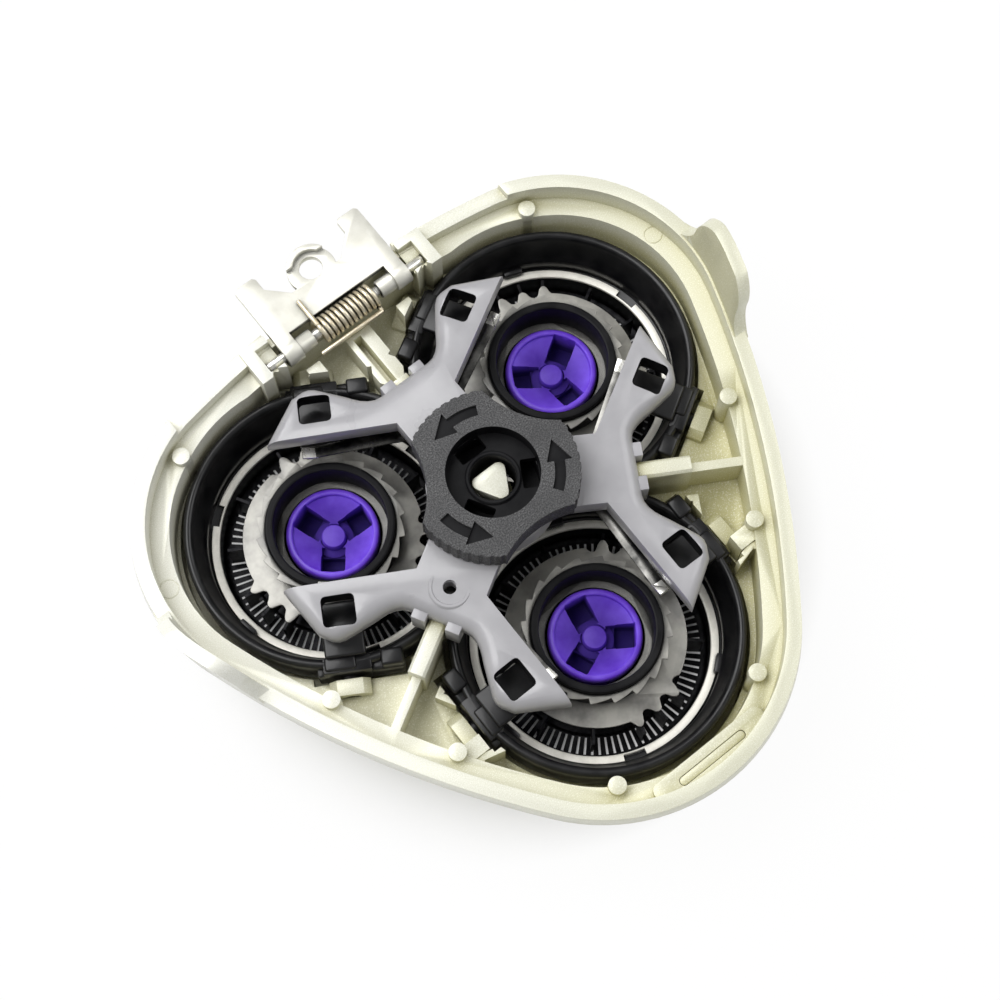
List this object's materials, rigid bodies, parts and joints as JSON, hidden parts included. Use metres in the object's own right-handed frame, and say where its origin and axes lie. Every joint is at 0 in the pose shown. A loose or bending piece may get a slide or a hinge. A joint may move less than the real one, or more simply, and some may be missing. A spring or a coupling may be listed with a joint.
{
  "type": "rotary shaver head",
  "caption": "Rounded triangular shaver head seen from inside, with slotted caps, spinning cutters, a retaining frame, a lock knob and a sprung hinge plate.",
  "frame": {"origin": "bottom centre of the bounding box, on the plane the shaving caps rest on", "axes": "+Z from the skin side to the open inside, +Y towards the hinge, +X to the right seen from inside"},
  "size_m": [0.0732, 0.0744, 0.0213],
  "materials": {
    "pearl_plastic": "pearl champagne paint, satin",
    "grey_plastic": "smooth semi-gloss",
    "textured_black_plastic": "fine spark-eroded grain",
    "plated_steel": "zinc plated, satin",
    "bright_steel": "ground and plated",
    "spring_wire": "drawn wire",
    "spring_strip": "rolled strip",
    "gloss_black_plastic": "polished black",
    "cap_steel": "deep-drawn stainless",
    "cutter_steel": "stamped and ground",
    "collar_plastic": "moulded, satin",
    "purple_plastic": "moulded, satin"
  },
  "bodies": {
    "shell": {"head_shell": "pearl_plastic", "retaining_frame": "grey_plastic", "hinge_pin": "bright_steel", "leaf_spring_a": "spring_strip", "leaf_spring_b": "spring_strip", "leaf_spring_c": "spring_strip"},
    "knob": {"lock_knob": "textured_black_plastic"},
    "bracket": {"hinge_bracket": "plated_steel", "hinge_spring": "spring_wire"},
    "carrier_1": {"carrier_ring_1": "gloss_black_plastic", "shaving_cap_1": "cap_steel"},
    "cutter_1": {"cutter_disc_1": "cutter_steel", "cutter_collar_1": "collar_plastic", "drive_coupler_1": "purple_plastic"},
    "carrier_2": {"carrier_ring_2": "gloss_black_plastic", "shaving_cap_2": "cap_steel"},
    "cutter_2": {"cutter_disc_2": "cutter_steel", "cutter_collar_2": "collar_plastic", "drive_coupler_2": "purple_plastic"},
    "carrier_3": {"carrier_ring_3": "gloss_black_plastic", "shaving_cap_3": "cap_steel"},
    "cutter_3": {"cutter_disc_3": "cutter_steel", "cutter_collar_3": "collar_plastic", "drive_coupler_3": "purple_plastic"}
  },
  "joints": [
    {"name": "knob_turn", "type": "hinge", "parent": "shell", "child": "knob", "pos_m": [0, 0.00175, 0.017], "axis": [0, 0, 1], "range_deg": [0, 40]},
    {"name": "bracket_swing", "type": "hinge", "parent": "shell", "child": "bracket", "pos_m": [0, 0.02795, 0.0134], "axis": [1, 0, 0], "range_deg": [0, 80], "stiffness_Nm_per_rad": 0.004, "springref_deg": -20.05},
    {"name": "carrier_tilt_1", "type": "hinge", "parent": "shell", "child": "carrier_1", "pos_m": [0.01541, 0.01065, 0.0066], "axis": [-0.5, 0.866, 0], "range_deg": [-3, 3], "stiffness_Nm_per_rad": 0.05},
    {"name": "cutter_spin_1", "type": "hinge", "parent": "carrier_1", "child": "cutter_1", "pos_m": [0.01541, 0.01065, 0.003], "axis": [0, 0, 1], "continuous": true},
    {"name": "carrier_tilt_2", "type": "hinge", "parent": "shell", "child": "carrier_2", "pos_m": [-0.01541, 0.01065, 0.0066], "axis": [-0.5, -0.866, 0], "range_deg": [-3, 3], "stiffness_Nm_per_rad": 0.05},
    {"name": "cutter_spin_2", "type": "hinge", "parent": "carrier_2", "child": "cutter_2", "pos_m": [-0.01541, 0.01065, 0.003], "axis": [0, 0, 1], "continuous": true},
    {"name": "carrier_tilt_3", "type": "hinge", "parent": "shell", "child": "carrier_3", "pos_m": [0, -0.01605, 0.0066], "axis": [1, 0, 0], "range_deg": [-3, 3], "stiffness_Nm_per_rad": 0.05},
    {"name": "cutter_spin_3", "type": "hinge", "parent": "carrier_3", "child": "cutter_3", "pos_m": [0, -0.01605, 0.003], "axis": [0, 0, 1], "continuous": true}
  ]
}
